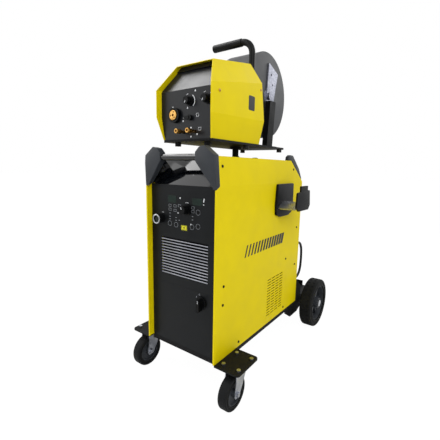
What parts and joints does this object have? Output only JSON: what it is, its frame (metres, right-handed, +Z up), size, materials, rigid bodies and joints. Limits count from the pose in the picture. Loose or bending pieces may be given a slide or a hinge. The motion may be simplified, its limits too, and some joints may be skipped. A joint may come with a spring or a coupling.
{
  "type": "mig welder on cart",
  "caption": "Wheeled welding power source with a swivelling wire feeder and covered spool on top, front handle bar, caster wheels and a gas cylinder shelf.",
  "frame": {"origin": "on the floor under the middle of the whole object's box", "axes": "+Z up, -Y towards the front panel, +X to the right of someone who faces +Y"},
  "size_m": [0.524, 0.969, 1.337],
  "materials": {
    "yellow_paint": "powder coat, satin",
    "black_paint": "powder coat, fine texture",
    "grey_panel": "fine moulded texture",
    "grey_plastic": "moulded, satin",
    "black_plastic": "moulded, matt",
    "gloss_black": "glossy film",
    "louvre_metal": "bare front edges",
    "display": "dark green window",
    "rubber": "matt",
    "tyre": "dark grey solid tyre",
    "caster_tyre": "grey thermoplastic tread",
    "zinc": "zinc plated",
    "steel": "bright steel",
    "brass": "machined",
    "core": "laminated, varnished",
    "cable": "smooth sheath",
    "spool": "moulded spool with wire",
    "motor": "enamel",
    "aluminium": "machined"
  },
  "bodies": {
    "cart": {"base_frame": "black_paint", "caster_plates": "black_paint", "caster_mounts": "zinc", "rear_axle": "steel", "cylinder_rack": "black_paint", "case_cover_left": "yellow_paint", "case_cover_right": "yellow_paint", "case_screws": "black_plastic", "front_panel": "grey_panel", "lower_panel": "grey_panel", "louvres": "louvre_metal", "display_windows": "display", "remote_socket": "steel", "front_horns": "grey_plastic", "front_bar": "gloss_black", "gloss_panel": "gloss_black", "rear_horns": "grey_plastic", "rear_panel": "black_paint", "fan_housing": "black_plastic", "interconnection_lead": "cable", "power_core": "core", "cable_hanger": "black_plastic", "hanger_saddle": "steel", "pivot_post": "black_paint"},
    "feeder": {"feeder_cover": "yellow_paint", "feeder_base": "black_paint", "feeder_feet": "rubber", "feeder_panels": "grey_panel", "feeder_screws": "black_plastic", "torch_socket": "brass", "coolant_couplers": "brass", "drive_unit": "motor", "spool_mast": "black_paint", "spool_bracket": "zinc", "spool_cover_right": "grey_plastic", "feeder_handle": "black_plastic"},
    "caster_left": {"caster_fork_left": "zinc"},
    "caster_wheel_left": {"caster_tyre_left": "caster_tyre", "caster_hub_left": "grey_plastic"},
    "rear_wheel_left": {"rear_tyre_left": "tyre", "rear_hub_left": "grey_plastic"},
    "caster_right": {"caster_fork_right": "zinc"},
    "caster_wheel_right": {"caster_tyre_right": "caster_tyre", "caster_hub_right": "grey_plastic"},
    "rear_wheel_right": {"rear_tyre_right": "tyre", "rear_hub_right": "grey_plastic"},
    "setting_knob": {"setting_knob": "black_plastic"},
    "mode_button": {"mode_button": "black_plastic"},
    "store_button": {"store_button": "black_plastic"},
    "main_switch": {"main_switch": "black_plastic"},
    "fan_rotor": {"fan_rotor": "black_plastic"},
    "feeder_door": {"feeder_door": "yellow_paint"},
    "feeder_knob_left": {"feeder_knob_left": "black_plastic"},
    "feeder_knob_right": {"feeder_knob_right": "black_plastic"},
    "feeder_selector": {"feeder_selector": "black_plastic"},
    "feed_roll_front": {"feed_roll_front": "steel"},
    "feed_roll_rear": {"feed_roll_rear": "steel"},
    "pressure_arm": {"pressure_arm": "aluminium"},
    "wire_spool": {"wire_spool": "spool"},
    "spool_cover_left": {"spool_cover_left": "grey_plastic"}
  },
  "joints": [
    {"name": "caster_swivel_left", "type": "hinge", "parent": "cart", "child": "caster_left", "pos_m": [-0.216, -0.38745, 0.14], "axis": [0, 0, 1], "continuous": true},
    {"name": "caster_spin_left", "type": "hinge", "parent": "caster_left", "child": "caster_wheel_left", "pos_m": [-0.216, -0.42205, 0.0625], "axis": [1, 0, 0], "continuous": true},
    {"name": "rear_spin_left", "type": "hinge", "parent": "cart", "child": "rear_wheel_left", "pos_m": [-0.2176, 0.35955, 0.125], "axis": [1, 0, 0], "continuous": true},
    {"name": "caster_swivel_right", "type": "hinge", "parent": "cart", "child": "caster_right", "pos_m": [0.216, -0.38745, 0.14], "axis": [0, 0, 1], "continuous": true},
    {"name": "caster_spin_right", "type": "hinge", "parent": "caster_right", "child": "caster_wheel_right", "pos_m": [0.216, -0.42205, 0.0625], "axis": [1, 0, 0], "continuous": true},
    {"name": "rear_spin_right", "type": "hinge", "parent": "cart", "child": "rear_wheel_right", "pos_m": [0.2176, 0.35955, 0.125], "axis": [1, 0, 0], "continuous": true},
    {"name": "feeder_swivel", "type": "hinge", "parent": "cart", "child": "feeder", "pos_m": [0, -0.10845, 0.915], "axis": [0, 0, 1], "continuous": true},
    {"name": "setting_knob_turn", "type": "hinge", "parent": "cart", "child": "setting_knob", "pos_m": [0.018, -0.43145, 0.682], "axis": [0, 1, 0], "continuous": true},
    {"name": "mode_press", "type": "slide", "parent": "cart", "child": "mode_button", "axis": [0, 1, 0], "range_m": [0, 0.0015], "stiffness_N_per_m": 400, "springref_m": -0.001},
    {"name": "store_press", "type": "slide", "parent": "cart", "child": "store_button", "axis": [0, 1, 0], "range_m": [0, 0.0015], "stiffness_N_per_m": 400, "springref_m": -0.001},
    {"name": "main_switch_turn", "type": "hinge", "parent": "cart", "child": "main_switch", "pos_m": [0.086, -0.43145, 0.357], "axis": [0, 1, 0], "range_deg": [0, 90]},
    {"name": "fan_spin", "type": "hinge", "parent": "cart", "child": "fan_rotor", "pos_m": [0, 0.19655, 0.56], "axis": [0, 1, 0], "continuous": true},
    {"name": "feeder_door_hinge", "type": "hinge", "parent": "feeder", "child": "feeder_door", "pos_m": [-0.1145, -0.25745, 0.929], "axis": [0, -1, 0], "range_deg": [0, 90]},
    {"name": "feeder_knob_left_turn", "type": "hinge", "parent": "feeder", "child": "feeder_knob_left", "pos_m": [0.015, -0.41545, 1.047], "axis": [0, 1, 0], "range_deg": [-135, 135]},
    {"name": "feeder_knob_right_turn", "type": "hinge", "parent": "feeder", "child": "feeder_knob_right", "pos_m": [0.09, -0.41545, 1.047], "axis": [0, 1, 0], "range_deg": [-135, 135]},
    {"name": "feeder_selector_turn", "type": "hinge", "parent": "feeder", "child": "feeder_selector", "pos_m": [0.018, -0.41545, 0.993], "axis": [0, 1, 0], "range_deg": [-45, 45]},
    {"name": "feed_roll_front_spin", "type": "hinge", "parent": "feeder", "child": "feed_roll_front", "pos_m": [-0.052, -0.32745, 0.9859], "axis": [1, 0, 0], "continuous": true},
    {"name": "feed_roll_rear_spin", "type": "hinge", "parent": "feeder", "child": "feed_roll_rear", "pos_m": [-0.052, -0.26745, 0.9859], "axis": [1, 0, 0], "continuous": true},
    {"name": "pressure_arm_lift", "type": "hinge", "parent": "feeder", "child": "pressure_arm", "pos_m": [-0.052, -0.22545, 1.052], "axis": [-1, 0, 0], "range_deg": [0, 60]},
    {"name": "spool_spin", "type": "hinge", "parent": "feeder", "child": "wire_spool", "pos_m": [-0.025, 0.06555, 1.146], "axis": [1, 0, 0], "continuous": true},
    {"name": "spool_cover_hinge", "type": "hinge", "parent": "feeder", "child": "spool_cover_left", "pos_m": [-0.03, 0.25155, 1.146], "axis": [0, 0, -1], "range_deg": [0, 100]}
  ],
  "couplings": [
    {"joint": "feed_roll_rear_spin", "follows": "feed_roll_front_spin", "ratio": 1}
  ]
}
